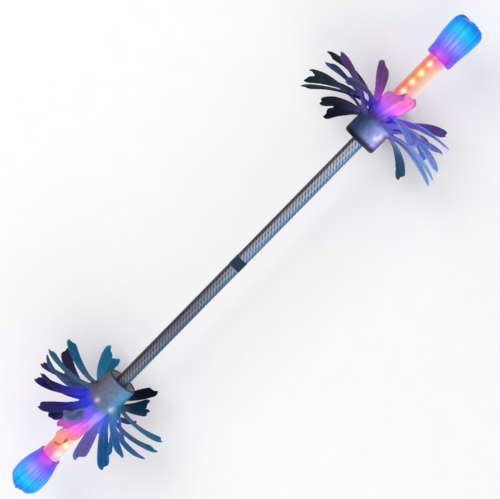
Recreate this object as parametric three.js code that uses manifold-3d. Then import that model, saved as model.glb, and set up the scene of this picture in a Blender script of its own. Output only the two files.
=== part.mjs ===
// LED devil stick of the flower-stick type, in millimetres.
// The stick lies along X with its balance point at the origin, and +Z is up.
// A core tube in a grip sleeve carries a light unit at each end. A light unit is a clear tube with
// its own cell, LED strips, switch and charging socket, closed by a plug under a soft end cap.
// A moulded silicone flower with two layers of petals grips each clear tube.
// Everything at the right end is built towards +X. The left end is the same set of parts turned
// half round about Z, with its own flower.
import * as THREE from "three";
import { mergeVertices } from "three/addons/utils/BufferGeometryUtils.js";
import Module from "manifold-3d";

const wasm = await Module();
wasm.setup();

// ---- driving dimensions -------------------------------------------------------------------
const stickLength = 660;
const fitGap = 0.15; // radial gap between parts that slide or are glued together
const restGap = 0.3; // gap left between parts that touch face to face

const coreRadius = 5.5;
const coreBore = 4;
const gripRadius = 6.7;
const bandHalfLength = 6;
const bandThickness = 0.25;

const clearTubeRadius = 10.2;
const clearTubeWall = 1.4;
const clearTubeStart = 180;
const clearTubeEnd = 286.5;

const carrierStart = 206;
const carrierEnd = 279;
const carrierWidth = 13;
const carrierHeight = 6;
const carrierWall = 0.8;
const ledPitch = 12;
const ledCount = 7;
const lastLed = 284;
const ledSize = 5;
const stripEnd = 287.4;

const capStart = 280.5;
const capRadius = 18;
const pleatCount = 12;
const pleatDepth = 0.8;

const collarStart = 170;
const collarEnd = 197;
const collarRadius = 17.7;
const mouthRadius = 14.4;
const throatLength = 9; // how far the collar tapers along the clear tube between the petals
const roundSteps = 32; // facets round the stick
const innerSteps = 24; // facets round the parts inside it

const halfStick = stickLength / 2;
const clearTubeBore = clearTubeRadius - clearTubeWall;
const spigotRadius = clearTubeBore - fitGap;

// ---- shape helpers ------------------------------------------------------------------------
const radians = THREE.MathUtils.degToRad;

function smoothStep(low, high, value) {
  const share = Math.min(1, Math.max(0, (value - low) / (high - low)));
  return share * share * (3 - 2 * share);
}

function finish(geometry) {
  geometry.deleteAttribute("normal");
  geometry.deleteAttribute("uv");
  return mergeVertices(geometry, 1e-4);
}

function toSolid(geometry) {
  const merged = finish(geometry);
  return new wasm.Manifold(
    new wasm.Mesh({
      numProp: 3,
      vertProperties: merged.attributes.position.array,
      triVerts: new Uint32Array(merged.index.array),
    }),
  );
}

function toGeometry(solid) {
  const mesh = solid.getMesh();
  const geometry = new THREE.BufferGeometry();
  geometry.setAttribute("position", new THREE.BufferAttribute(mesh.vertProperties, 3));
  geometry.setIndex(new THREE.BufferAttribute(mesh.triVerts, 1));
  return geometry;
}

// A shape turned round the X axis. The profile is a list of [x, radius] points that runs
// anticlockwise with the radius to the right and x upwards, and closes on itself or on the axis.
function turned(profile, steps = roundSteps) {
  const points = profile.map(([x, radius]) => new THREE.Vector2(radius, x));
  return new THREE.LatheGeometry(points, steps).rotateZ(-Math.PI / 2);
}

function pipe(start, end, outer, bore, steps = roundSteps) {
  return turned([[start, bore], [start, outer], [end, outer], [end, bore], [start, bore]], steps);
}

function rod(start, end, radius, steps = roundSteps) {
  return turned([[start, 0], [start, radius], [end, radius], [end, 0]], steps);
}

function block(start, end, width, height, y = 0, z = 0) {
  return new THREE.BoxGeometry(end - start, width, height).translate((start + end) / 2, y, z);
}

function roundedRectangle(width, height, corner) {
  const shape = new THREE.Shape();
  const [w, h] = [width / 2, height / 2];
  shape.moveTo(-w + corner, -h);
  shape.lineTo(w - corner, -h);
  shape.absarc(w - corner, -h + corner, corner, -Math.PI / 2, 0);
  shape.lineTo(w, h - corner);
  shape.absarc(w - corner, h - corner, corner, 0, Math.PI / 2);
  shape.lineTo(-w + corner, h);
  shape.absarc(-w + corner, h - corner, corner, Math.PI / 2, Math.PI);
  shape.lineTo(-w, -h + corner);
  shape.absarc(-w + corner, -h + corner, corner, Math.PI, 1.5 * Math.PI);
  return shape;
}

// A bar along X whose section is a flat shape in Y and Z.
function bar(shape, start, end, y = 0, z = 0) {
  const options = { depth: end - start, bevelEnabled: false, curveSegments: 3 };
  const turn = new THREE.Matrix4().set(0, 0, 1, start, 1, 0, 0, y, 0, 1, 0, z, 0, 0, 0, 1);
  return new THREE.ExtrudeGeometry(shape, options).applyMatrix4(turn);
}

// ---- materials ----------------------------------------------------------------------------
function material(color, roughness, metalness = 0, extra = {}) {
  return new THREE.MeshStandardMaterial({ color, roughness, metalness, ...extra });
}
const clear = { transparent: true, opacity: 0.35 };
const finishes = {
  fibreglass: material(0x2c3338, 0.5),
  weave: material(0x6f8fb5, 0.35, 0.4),
  tape: material(0x10303f, 0.35),
  clearPlastic: material(0xf4f6fa, 0.05, 0, clear),
  blackPlastic: material(0x15181c, 0.45),
  whitePlastic: material(0xf2e9e4, 0.5),
  opalPlastic: material(0xdfe6ff, 0.4),
  board: material(0xf0ede8, 0.5),
  strip: material(0xffd9a8, 0.4),
  cell: material(0x9aa4b4, 0.35, 0.5),
  seal: material(0x202024, 0.7),
  steel: material(0xb8bcc2, 0.3, 0.9),
  wire: material(0x8a1f2a, 0.5),
  button: material(0x2a59d8, 0.5),
  petal: material(0x44608f, 0.42),
  cap: material(0x0f7bff, 0.35),
};

function part(name, geometry, finishName) {
  const mesh = new THREE.Mesh(geometry, finishes[finishName]);
  mesh.name = name;
  return mesh;
}

// ---- the shaft ----------------------------------------------------------------------------
const sleeveEnd = 173;
const coreEnd = 197;

function coreTube() {
  return pipe(-coreEnd, coreEnd, coreRadius, coreBore);
}

function gripSleeve() {
  return pipe(-sleeveEnd, sleeveEnd, gripRadius, coreRadius + fitGap);
}

function centreBand() {
  const inner = gripRadius + 0.05;
  return pipe(-bandHalfLength, bandHalfLength, inner + bandThickness, inner);
}

// ---- the light unit -----------------------------------------------------------------------
const couplerFlangeStart = 174;
const couplerEnd = 203;
const plugStart = 280.2;
const plugFace = 295;
const plugFaceRadius = 7.2;
const plugNeck = 6.2;
const plugHollow = 7.4;
const sealAt = 283.4;
const sealThickness = 0.6;
const boardAt = 288;
const boardThickness = 1;
const buttonZ = 3.6;
const buttonRadius = 2;
const buttonTravel = 0.5;
const buttonFlange = 1;
const plugFaceThickness = 1.5;
const buttonUnder = plugFace - plugFaceThickness - restGap - buttonFlange;
const socketZ = -2.6;
const socketWidth = 8.9;
const socketHeight = 3.2;

// The coupler is glued into the clear tube and takes the end of the core tube.
function shaftCoupler() {
  const bore = coreRadius + fitGap;
  return turned([
    [couplerFlangeStart, bore],
    [couplerFlangeStart, clearTubeRadius - 1],
    [couplerFlangeStart + 1, clearTubeRadius],
    [clearTubeStart - restGap, clearTubeRadius],
    [clearTubeStart - restGap, spigotRadius],
    [couplerEnd, spigotRadius],
    [couplerEnd, 0],
    [coreEnd + restGap, 0],
    [coreEnd + restGap, bore],
    [couplerFlangeStart, bore],
  ], innerSteps);
}

function clearTube() {
  return pipe(clearTubeStart, clearTubeEnd, clearTubeRadius, clearTubeBore);
}

// The carrier is a white rectangular channel that holds the cell and shows the LED strips.
function ledCarrier() {
  const shape = roundedRectangle(carrierWidth, carrierHeight, 0.8);
  const pocketWidth = carrierWidth - 2 * carrierWall;
  const pocketHeight = carrierHeight - 2 * carrierWall;
  shape.holes.push(roundedRectangle(pocketWidth, pocketHeight, 0.4));
  return bar(shape, carrierStart, carrierEnd);
}

// A flexible strip with its LED chips, on one face of the carrier. face is 1 above, -1 below.
function ledStrip(face) {
  const baseThickness = 0.5;
  const chipHeight = 1.5;
  const baseZ = face * (carrierHeight / 2 + restGap + baseThickness / 2);
  const chipZ = baseZ + face * ((baseThickness + chipHeight) / 2 - 0.1);
  let strip = toSolid(block(carrierStart, stripEnd, 8, baseThickness, 0, baseZ));
  for (let i = 0; i < ledCount; i++) {
    const x = lastLed - i * ledPitch;
    strip = strip.add(toSolid(block(x - ledSize / 2, x + ledSize / 2, ledSize, chipHeight, 0, chipZ)));
  }
  return toGeometry(strip);
}

function batteryCell() {
  return bar(roundedRectangle(10.8, 3.8, 0.8), carrierStart + 3, carrierStart + 45);
}

function controlBoard() {
  const start = carrierStart + 47;
  const board = toSolid(block(start, start + 22, 10, 1, 0, -1.2));
  const driver = toSolid(block(start + 6, start + 11, 5, 1.2, 0, -0.2));
  const regulator = toSolid(block(start + 14, start + 17, 3, 1, 1, -0.3));
  return toGeometry(board.add(driver).add(regulator));
}

// The plug has a spigot with a seal groove, a hollow for the switch board and a domed shoulder.
// The strips run through its neck to the board.
function endPlug() {
  const groove = sealThickness + 0.2;
  const shoulder = clearTubeEnd + restGap;
  const body = turned([
    [plugStart, plugNeck],
    [plugStart, spigotRadius],
    [sealAt - groove, spigotRadius],
    [sealAt - groove, 7.3],
    [sealAt + groove, 7.3],
    [sealAt + groove, spigotRadius],
    [shoulder, spigotRadius],
    [shoulder, clearTubeRadius],
    [shoulder + 2.4, clearTubeRadius],
    [shoulder + 5, 9.7],
    [plugFace - 1.2, 8.8],
    [plugFace, plugFaceRadius],
    [plugFace, 0],
    [plugFace - plugFaceThickness, 0],
    [plugFace - plugFaceThickness, plugHollow],
    [boardAt - 0.6, plugHollow],
    [boardAt - 0.6, plugNeck],
    [plugStart, plugNeck],
  ], innerSteps);
  const buttonHole = rod(plugFace - 3, plugFace + 1, buttonRadius + 0.2, 16).translate(0, 0, buttonZ);
  const socketHole = bar(
    roundedRectangle(socketWidth + 0.5, socketHeight + 0.5, 1.6), plugFace - 3, plugFace + 1, 0, socketZ,
  );
  return toGeometry(toSolid(body).subtract(toSolid(buttonHole)).subtract(toSolid(socketHole)));
}

function plugSeal() {
  const middle = clearTubeBore - sealThickness - 0.06;
  const ring = [];
  for (let i = 0; i <= 6; i++) {
    const turn = (i / 6) * 2 * Math.PI;
    ring.push([sealAt - Math.cos(turn) * sealThickness, middle + Math.sin(turn) * sealThickness]);
  }
  return turned(ring, innerSteps);
}

function switchBoard() {
  return rod(boardAt, boardAt + boardThickness, plugHollow - 0.3, innerSteps);
}

function tactSwitch() {
  const foot = boardAt + boardThickness + restGap;
  const body = toSolid(block(foot, foot + 2, 4, 3.4, 0, buttonZ));
  const stem = toSolid(rod(foot + 1, buttonUnder - buttonTravel - 0.1, 1, 16).translate(0, 0, buttonZ));
  return toGeometry(body.add(stem));
}

function modeButton() {
  return turned([
    [buttonUnder, 0],
    [buttonUnder, buttonRadius + 0.6],
    [buttonUnder + buttonFlange, buttonRadius + 0.6],
    [buttonUnder + buttonFlange, buttonRadius],
    [plugFace + 0.6, buttonRadius],
    [plugFace + 1, buttonRadius - 0.4],
    [plugFace + 1, 0],
  ], 16).translate(0, 0, buttonZ);
}

function chargeSocket() {
  const start = boardAt + boardThickness + restGap;
  const mouth = plugFace - 0.3;
  const shell = roundedRectangle(socketWidth, socketHeight, 1.5);
  shell.holes.push(roundedRectangle(socketWidth - 0.6, socketHeight - 0.6, 1.2));
  const back = bar(roundedRectangle(socketWidth, socketHeight, 1.5), start, start + 1, 0, socketZ);
  const tongue = block(start + 0.5, mouth - 1.5, 6.4, 0.8, 0, socketZ);
  const sleeve = toSolid(bar(shell, start + 0.5, mouth, 0, socketZ));
  return toGeometry(sleeve.add(toSolid(back)).add(toSolid(tongue)));
}

function tipLed(side) {
  const foot = boardAt + boardThickness + restGap;
  return block(foot, foot + 1.4, 2.8, 2.8, side * 4.4, 1.9);
}

// The ribbon carries power and data from the carrier's end to the switch board.
function ribbonLead() {
  const path = new THREE.CatmullRomCurve3([
    new THREE.Vector3(carrierEnd + 0.4, 0, 0.2),
    new THREE.Vector3(carrierEnd + 3, 0, 0.5),
    new THREE.Vector3(carrierEnd + 5, 0, -0.5),
    new THREE.Vector3(boardAt - 1.8, 0, -0.2),
    new THREE.Vector3(boardAt - 0.4, 0, -0.2),
  ]);
  const section = new THREE.Shape();
  section.moveTo(-0.35, -2.5);
  section.lineTo(0.35, -2.5);
  section.lineTo(0.35, 2.5);
  section.lineTo(-0.35, 2.5);
  return new THREE.ExtrudeGeometry(section, { steps: 10, extrudePath: path, bevelEnabled: false });
}

// ---- the end cap --------------------------------------------------------------------------
// A soft hollow bud with pleated walls. Its neck grips the clear tube and its outer end is closed
// and nearly flat.
function endCap() {
  const neck = clearTubeRadius + restGap;
  const bud = turned([
    [capStart, neck],
    [capStart, 12.6],
    [capStart + 1, 13.4],
    [capStart + 6, 13.6],
    [capStart + 15, 14.8],
    [capStart + 24, 16.4],
    [capStart + 32, capRadius - pleatDepth],
    [capStart + 39, capRadius - pleatDepth],
    [capStart + 44, 16],
    [halfStick - 2, 12.6],
    [halfStick - 0.4, 7.6],
    [halfStick, 5],
    [halfStick, 0],
    [halfStick - 2.2, 0],
    [halfStick - 2.6, 6],
    [halfStick - 5.4, 11],
    [capStart + 40, 14],
    [capStart + 32, 14.8],
    [capStart + 24, 13.6],
    [plugFace + 2.5, neck],
    [capStart, neck],
  ], 3 * pleatCount);
  const place = bud.attributes.position;
  for (let i = 0; i < place.count; i++) {
    const [x, y, z] = [place.getX(i), place.getY(i), place.getZ(i)];
    const along = smoothStep(capStart + 1, capStart + 26, x) * smoothStep(neck, neck + 3, Math.hypot(y, z));
    const lift = 1 + (along * pleatDepth * Math.cos(pleatCount * Math.atan2(y, z))) / capRadius;
    place.setXYZ(i, x, y * lift, z * lift);
  }
  return bud;
}

// ---- the flower ---------------------------------------------------------------------------
// A petal is [forward, side, height, twist, width share]. Its tip lies that far beyond the collar
// towards the end of the stick, that far from the stick's axis towards +Y and that far above it, in
// millimetres. Twist is the turn of its flat face from root to tip, in degrees.
// The rows go round the stick in order, from +Y over the top, and every other petal is in the
// inner layer.
const rightPetals = [
  [-10, 82, -8, 35, 1],
  [14, 80, 10, 35, 1],
  [22, 71, 35, 35, 1],
  [-26, 75, 26, 0, 0.9],
  [7, 73, 36, -25, 1],
  [7, 48, 60, -30, 1],
  [33, 3, 26, 5, 1.75],
  [33, -3, 16, 0, 1],
  [40, -9, 20, 15, 1.7],
  [6, -40, 67, 40, 1],
  [17, -40, 65, 5, 0.9],
  [28, -66, 34, -10, 0.9],
  [20, -64, 42, 40, 0.9],
  [5, -74, 32, 25, 1],
  [-2, -76, 28, -25, 1],
  [38, -59, -30, -50, 1.1],
  [-9, -80, -8, 30, 1],
  [15, -55, -48, 20, 0.9],
  [-25, -57, -43, -45, 1.1],
  [6, -62, -48, -25, 1],
  [22, -50, -56, 0, 1],
  [8, -16, -70, 5, 1],
  [-14, -10, -68, 30, 1],
  [26, -6, -68, -30, 1],
  [-4, 0, -70, 30, 1],
  [20, 6, -68, 40, 1],
  [-12, 12, -68, -40, 1],
  [8, 18, -70, -20, 1],
  [-32, 43, -39, 25, 1.15],
  [47, 36, -40, -25, 1.5],
  [-26, 55, -39, 40, 1.15],
  [-20, 81, -15, 35, 1],
];
const leftPetals = [
  [14, 71, 20, 15, 1],
  [2, 71, 32, 5, 1],
  [-5, 74, 29, 15, 1],
  [14, 63, 43, 10, 1.1],
  [24, 64, 38, 20, 1.15],
  [36, 42, 54, 10, 1.35],
  [40, 27, 45, -10, 1.35],
  [27, 18, 50, 0, 1.5],
  [45, 13, 30, 20, 1.4],
  [61, 7, 24, 5, 1.5],
  [52, -3, 20, 5, 1],
  [52, -22, 40, -10, 1.4],
  [16, -51, 48, -10, 1],
  [44, -48, 30, -30, 1.3],
  [36, -44, 20, -5, 0.9],
  [7, -68, 33, -10, 1],
  [-17, -70, 23, -10, 1],
  [8, -75, -21, -10, 1],
  [34, -51, -34, 20, 0.9],
  [10, -38, -46, 0, 0.9],
  [-7, -43, -49, -10, 1],
  [-15, -36, -48, -5, 1.1],
  [-29, -32, -50, -10, 1.2],
  [12, -8, -68, 30, 1],
  [4, 0, -69, -40, 1],
  [24, 6, -67, -15, 1],
  [10, 12, -69, -35, 1],
  [-25, 20, -51, -10, 1.1],
  [-28, 33, -50, 20, 1.2],
  [28, 50, -50, 25, 1],
  [-9, 69, -31, 35, 1.05],
  [2, 66, -33, 35, 1.35],
];

const petalHalfWidth = 4.9;
const petalHalfThickness = 0.8;
const petalCup = 0.9; // how far a petal's edges curl in at its root
const outerRoot = { x: collarEnd - 5, radius: 16, flare: 0.6 };
const innerRoot = { x: collarEnd + 4, radius: 12.6, flare: 0.45 };
const petalSteps = 7;

// Neighbouring petals merge at their roots. A petal narrows as it leaves them, widens again and has
// a blunt end. wide is its width share away from the root.
function halfWidth(share, wide) {
  const tip = Math.max(0, (share - 0.76) / 0.24);
  const plan = 1.15 - 0.25 * smoothStep(0, 0.35, share) + 0.15 * smoothStep(0.35, 0.8, share);
  const own = 1 + (wide - 1) * smoothStep(0, 0.6, share);
  return petalHalfWidth * plan * own * Math.sqrt(Math.max(0.15, 1 - Math.pow(tip, 4)));
}

// The centre line rises out of the collar, leaning out, and bends over to its tip. A petal that
// folds back over the collar leaves it more steeply.
function petalPath(index, [forward, side, height]) {
  const root = index % 2 === 0 ? outerRoot : innerRoot;
  const around = radians((index * 360) / rightPetals.length);
  const out = new THREE.Vector3(0, Math.cos(around), Math.sin(around));
  const start = out.clone().multiplyScalar(root.radius).setX(root.x);
  const tip = new THREE.Vector3(collarEnd + forward, side, height);
  const lean = 0.15 + 0.65 * smoothStep(-30, 20, forward);
  const leaving = new THREE.Vector3(lean, 0, 0).addScaledVector(out, root.flare).normalize();
  const chord = tip.clone().sub(start);
  const span = chord.length();
  chord.normalize();
  const mirrored = chord.clone().multiplyScalar(2 * chord.dot(leaving)).sub(leaving);
  const arriving = mirrored.lerp(chord, 0.45).normalize();
  const rise = span * (0.14 + 0.16 * Math.max(0, chord.dot(leaving)));
  const curve = new THREE.CubicBezierCurve3(
    start,
    start.clone().addScaledVector(leaving, rise),
    tip.clone().addScaledVector(arriving, -span * 0.36),
    tip,
  );
  return { curve, around };
}

// The six corners of a petal's section: two edges, and two on each face.
const sectionCorners = [[-1, 0], [-0.6, -1], [0.6, -1], [1, 0], [0.6, 1], [-0.6, 1]];

function petal(row, index) {
  const { curve, around } = petalPath(index, row);
  const [, , , twist, wide] = row;
  const positions = [];
  const indices = [];
  for (let i = 0; i <= petalSteps; i++) {
    const share = i / petalSteps;
    const centre = curve.getPoint(share);
    const along = curve.getTangent(share);
    const across = new THREE.Vector3(0, -Math.sin(around), Math.cos(around));
    across.addScaledVector(along, -across.dot(along)).normalize();
    across.applyAxisAngle(along, radians(twist * smoothStep(0, 0.8, share)));
    const face = new THREE.Vector3().crossVectors(along, across);
    const reach = halfWidth(share, wide);
    const cup = petalCup * (1 - 0.7 * share);
    for (const [across1, level] of sectionCorners) {
      const corner = centre.clone()
        .addScaledVector(across, across1 * reach)
        .addScaledVector(face, level * petalHalfThickness + cup * (1 - across1 * across1));
      positions.push(corner.x, corner.y, corner.z);
    }
  }
  const corners = sectionCorners.length;
  for (let ring = 0; ring < petalSteps; ring++) {
    for (let c = 0; c < corners; c++) {
      const a = ring * corners + c;
      const b = ring * corners + ((c + 1) % corners);
      indices.push(a, b, a + corners, b, b + corners, a + corners);
    }
  }
  for (let c = 1; c < corners - 1; c++) {
    const last = petalSteps * corners;
    indices.push(0, c + 1, c, last, last + c, last + c + 1);
  }
  const geometry = new THREE.BufferGeometry();
  geometry.setAttribute("position", new THREE.Float32BufferAttribute(positions, 3));
  geometry.setIndex(indices);
  return geometry;
}

// The collar is a cup open towards the middle of the stick. Its floor grips the clear tube.
function collar() {
  const bore = clearTubeRadius + fitGap + 0.1;
  return turned([
    [collarStart + 1.2, mouthRadius],
    [collarStart, mouthRadius + 1],
    [collarStart, collarRadius - 1.6],
    [collarStart + 0.6, collarRadius - 0.5],
    [collarStart + 2, collarRadius],
    [collarEnd - 6, collarRadius],
    [collarEnd - 2, collarRadius - 0.5],
    [collarEnd + 1, collarRadius - 2],
    [collarEnd + throatLength, 12.6],
    [collarEnd + throatLength, bore],
    [collarEnd - 9, bore],
    [collarEnd - 9, mouthRadius - 1],
    [collarEnd - 10, mouthRadius],
    [collarStart + 1.2, mouthRadius],
  ]);
}

function flower(petals) {
  let solid = toSolid(collar());
  petals.forEach((row, index) => {
    solid = solid.add(toSolid(petal(row, index)));
  });
  return toGeometry(solid);
}

// A flower that is turned half round about Z goes round the stick the other way.
function halfTurned(petals) {
  const half = petals.length / 2;
  return petals.map((_, index) => {
    const [forward, side, height, twist, wide] = petals[(3 * half - index) % petals.length];
    return [forward, -side, height, -twist, wide];
  });
}

// ---- the assembly -------------------------------------------------------------------------
// One end of the stick. lightsTurn is how far the strips are rolled about the stick.
function stickEnd(side, petals, lightsTurn) {
  const end = new THREE.Group();
  const lights = new THREE.Group();
  lights.rotation.x = radians(lightsTurn);
  lights.add(
    part(`${side}_led_carrier`, ledCarrier(), "whitePlastic"),
    part(`${side}_led_strip_front`, ledStrip(1), "strip"),
    part(`${side}_led_strip_back`, ledStrip(-1), "strip"),
    part(`${side}_battery_cell`, batteryCell(), "cell"),
    part(`${side}_control_board`, controlBoard(), "board"),
    part(`${side}_ribbon_lead`, ribbonLead(), "wire"),
  );
  end.add(
    lights,
    part(`${side}_shaft_coupler`, shaftCoupler(), "blackPlastic"),
    part(`${side}_light_tube`, clearTube(), "clearPlastic"),
    part(`${side}_end_plug`, endPlug(), "opalPlastic"),
    part(`${side}_plug_seal`, plugSeal(), "seal"),
    part(`${side}_switch_board`, switchBoard(), "board"),
    part(`${side}_tact_switch`, tactSwitch(), "blackPlastic"),
    part(`${side}_mode_button`, modeButton(), "button"),
    part(`${side}_charge_socket`, chargeSocket(), "steel"),
    part(`${side}_tip_led_1`, tipLed(1), "strip"),
    part(`${side}_tip_led_2`, tipLed(-1), "strip"),
    part(`${side}_flower`, flower(petals), "petal"),
    part(`${side}_end_cap`, endCap(), "cap"),
  );
  return end;
}

const devilStick = new THREE.Group();
devilStick.add(
  part("core_tube", coreTube(), "fibreglass"),
  part("grip_sleeve", gripSleeve(), "weave"),
  part("centre_band", centreBand(), "tape"),
);
const rightEnd = stickEnd("right", rightPetals, -15);
const leftEnd = stickEnd("left", halfTurned(leftPetals), -32);
leftEnd.rotation.z = Math.PI;
devilStick.add(rightEnd, leftEnd);

export default devilStick;
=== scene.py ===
import bmesh
import bpy
import math
import numpy as np
from mathutils import Matrix, Vector, kdtree


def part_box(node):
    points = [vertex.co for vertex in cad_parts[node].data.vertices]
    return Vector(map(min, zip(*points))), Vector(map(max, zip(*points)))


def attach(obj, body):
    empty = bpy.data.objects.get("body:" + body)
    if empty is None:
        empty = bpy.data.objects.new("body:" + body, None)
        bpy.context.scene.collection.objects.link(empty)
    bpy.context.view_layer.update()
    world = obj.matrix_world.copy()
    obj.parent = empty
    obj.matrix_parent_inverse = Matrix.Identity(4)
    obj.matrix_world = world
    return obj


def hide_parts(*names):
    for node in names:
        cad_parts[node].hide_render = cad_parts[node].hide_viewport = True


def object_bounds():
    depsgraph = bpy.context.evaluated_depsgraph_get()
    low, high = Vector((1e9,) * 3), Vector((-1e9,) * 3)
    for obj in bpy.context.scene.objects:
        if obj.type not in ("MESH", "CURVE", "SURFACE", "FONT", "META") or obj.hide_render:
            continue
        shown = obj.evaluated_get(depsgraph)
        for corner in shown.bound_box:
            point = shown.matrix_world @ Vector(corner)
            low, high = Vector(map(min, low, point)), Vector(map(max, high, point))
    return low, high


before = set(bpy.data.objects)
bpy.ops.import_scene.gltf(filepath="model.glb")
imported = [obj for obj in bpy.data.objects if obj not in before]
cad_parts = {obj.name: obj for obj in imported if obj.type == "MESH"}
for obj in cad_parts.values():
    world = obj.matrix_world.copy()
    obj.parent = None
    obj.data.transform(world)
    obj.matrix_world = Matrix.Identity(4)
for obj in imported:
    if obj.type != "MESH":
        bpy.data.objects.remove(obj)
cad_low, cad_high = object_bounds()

MM = 0.001
rng = np.random.default_rng(7)


# ---- numbers shared with the CAD, in millimetres --------------------------------------------
COLLAR_START, COLLAR_END, COLLAR_RADIUS, MOUTH_RADIUS = 170.0, 197.0, 17.7, 14.4
TUBE_RADIUS = 10.2
GRIP_RADIUS = 6.7
LED_PITCH, LAST_LED = 12.0, 284.0
CAP_START, CAP_END = 280.5, 330.0
SIDES = {"right": 1.0, "left": -1.0}
# How far each LED strip is turned from straight up towards -Y, in degrees.
STRIP_TURN = {"right": -15.0, "left": 32.0}

# A petal is (forward, side, height, twist, width share), as in the CAD, where one tip is 1 mm lower.
# Its tip lies forward of the collar's end, to the +Y side of the axis and above it, in millimetres.
# Its face turns by twist, in degrees. Then come how much of the tube's light shows through it and the
# name of its shade. The petals go round the stick from +Y over the top, and every second one is in
# the inner layer.
PETALS = {
    "right": [
        (-10, 82, -8, 35, 1, 0, "ink"), (14, 80, 10, 35, 1, 0, "plum"),
        (22, 71, 35, 35, 1, 0.05, "mauve"), (-26, 75, 26, 0, 0.9, 0, "ink"),
        (7, 73, 36, -25, 1, 0, "slate"), (7, 48, 60, -30, 1, 0, "slate"),
        (33, 3, 26, 5, 1.75, 0.6, "rose"), (33, -3, 16, 0, 1, 1, "blush"),
        (40, -9, 21, 15, 1.7, 0.75, "blush"), (6, -40, 67, 40, 1, 0, "haze"),
        (17, -40, 65, 5, 0.9, 0.1, "haze"), (28, -66, 34, -10, 0.9, 0, "haze"),
        (20, -64, 42, 40, 0.9, 0, "haze"), (5, -74, 32, 25, 1, 0, "sky"), (-2, -76, 28, -25, 1, 0, "sky"),
        (38, -59, -30, -50, 1.1, 0.03, "violet"), (-9, -80, -8, 30, 1, 0, "sky"),
        (15, -55, -48, 20, 0.9, 0.2, "violet"), (-25, -57, -43, -45, 1.1, 0, "steel"),
        (6, -62, -48, -25, 1, 0, "haze"), (22, -50, -56, 0, 1, 0, "violet"),
        (8, -16, -70, 5, 1, 0, "ink"), (-14, -10, -68, 30, 1, 0, "navy"),
        (26, -6, -68, -30, 1, 0.1, "violet"), (-4, 0, -70, 30, 1, 0, "ink"),
        (20, 6, -68, 40, 1, 0.1, "plum"), (-12, 12, -68, -40, 1, 0, "navy"),
        (8, 18, -70, -20, 1, 0, "ink"), (-32, 43, -39, 25, 1.15, 0, "navy"),
        (47, 36, -40, -25, 1.5, 0.04, "orchid"), (-26, 55, -39, 40, 1.15, 0, "navy"),
        (-20, 81, -15, 35, 1, 0, "ink"),
    ],
    "left": [
        (14, 71, 20, 15, 1, 0, "dusk"), (2, 71, 32, 5, 1, 0, "teal"), (-5, 74, 29, 15, 1, 0, "teal"),
        (14, 63, 43, 10, 1.1, 0, "indigo"), (24, 64, 38, 20, 1.15, 0, "indigo"),
        (36, 42, 54, 10, 1.35, 0, "indigo"), (40, 27, 45, -10, 1.35, 0, "indigo"),
        (27, 18, 50, 0, 1.5, 0, "stone"), (45, 13, 30, 20, 1.4, 0.6, "rose"),
        (61, 7, 24, 5, 1.5, 1, "amber"), (52, -3, 20, 5, 1, 1, "amber"),
        (52, -22, 40, -10, 1.4, 0.1, "lilac"), (16, -51, 48, -10, 1, 0, "sea"),
        (44, -48, 30, -30, 1.3, 0, "sea"), (36, -44, 20, -5, 0.9, 0, "sea"),
        (7, -68, 33, -10, 1, 0, "sea"), (-17, -70, 23, -10, 1, 0, "teal"),
        (8, -75, -21, -10, 1, 0, "teal"), (34, -51, -34, 20, 0.9, 0, "sea"),
        (10, -38, -46, 0, 0.9, 0, "deep"), (-7, -43, -49, -10, 1, 0, "deep"),
        (-15, -36, -48, -5, 1.1, 0, "deep"), (-29, -32, -50, -10, 1.2, 0, "black"),
        (12, -8, -68, 30, 1, 0, "deep"), (4, 0, -69, -40, 1, 0, "deep"),
        (24, 6, -67, -15, 1, 0.1, "indigo"), (10, 12, -69, -35, 1, 0, "teal"),
        (-25, 20, -51, -10, 1.1, 0, "lagoon"), (-28, 33, -50, 20, 1.2, 0, "lagoon"),
        (28, 50, -50, 25, 1, 0, "dusk"), (-9, 69, -31, 35, 1.05, 0, "teal"),
        (2, 66, -33, 35, 1.35, 0, "dusk"),
    ],
}
# Shades of the silicone with painted light and shade in them: a petal's colour at its tip and at its root.
SHADES = {
    "navy": ((6, 13, 32), (30, 22, 104)), "ink": ((16, 32, 54), (44, 30, 132)),
    "plum": ((32, 24, 50), (84, 46, 142)), "mauve": ((70, 56, 112), (108, 64, 180)),
    "slate": ((56, 70, 112), (72, 72, 164)), "violet": ((64, 54, 126), (96, 52, 200)),
    "orchid": ((96, 66, 126), (134, 58, 190)), "steel": ((42, 80, 120), (104, 142, 204)),
    "sky": ((132, 170, 236), (98, 100, 204)), "haze": ((108, 124, 206), (96, 84, 196)),
    "teal": ((22, 98, 138), (70, 100, 140)), "deep": ((2, 56, 96), (8, 84, 128)),
    "black": ((0, 10, 34), (3, 56, 92)), "sea": ((26, 98, 156), (76, 138, 200)),
    "lagoon": ((24, 110, 150), (36, 124, 164)), "indigo": ((46, 38, 104), (34, 40, 220)),
    "dusk": ((42, 40, 72), (64, 60, 104)), "stone": ((88, 102, 142), (104, 116, 170)),
    "rose": ((150, 84, 160), (36, 32, 124)), "amber": ((226, 130, 118), (104, 116, 186)),
    "blush": ((214, 130, 186), (60, 44, 140)), "lilac": ((84, 98, 168), (110, 120, 210)),
}
# Where the outer and the inner petals leave the collar: x, radius and flare.
ROOTS = ((COLLAR_END - 5, 16.0, 0.6), (COLLAR_END + 4, 12.6, 0.45))


# ---- general helpers ------------------------------------------------------------------------
def smooth_step(low, high, value):
    share = np.clip((value - low) / (high - low), 0, 1)
    return share * share * (3 - 2 * share)


def linear(colour):
    """An sRGB colour given in 0 to 255, as linear values."""
    c = np.asarray(colour, float) / 255
    return np.where(c <= 0.04045, c / 12.92, ((c + 0.055) / 1.055) ** 2.4)


def ramp(value, stops):
    """Colours between stops of (value, sRGB colour), blended in linear light."""
    places = [s[0] for s in stops]
    colours = np.array([linear(s[1]) for s in stops])
    return np.stack([np.interp(value, places, colours[:, k]) for k in range(3)], -1)


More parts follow.
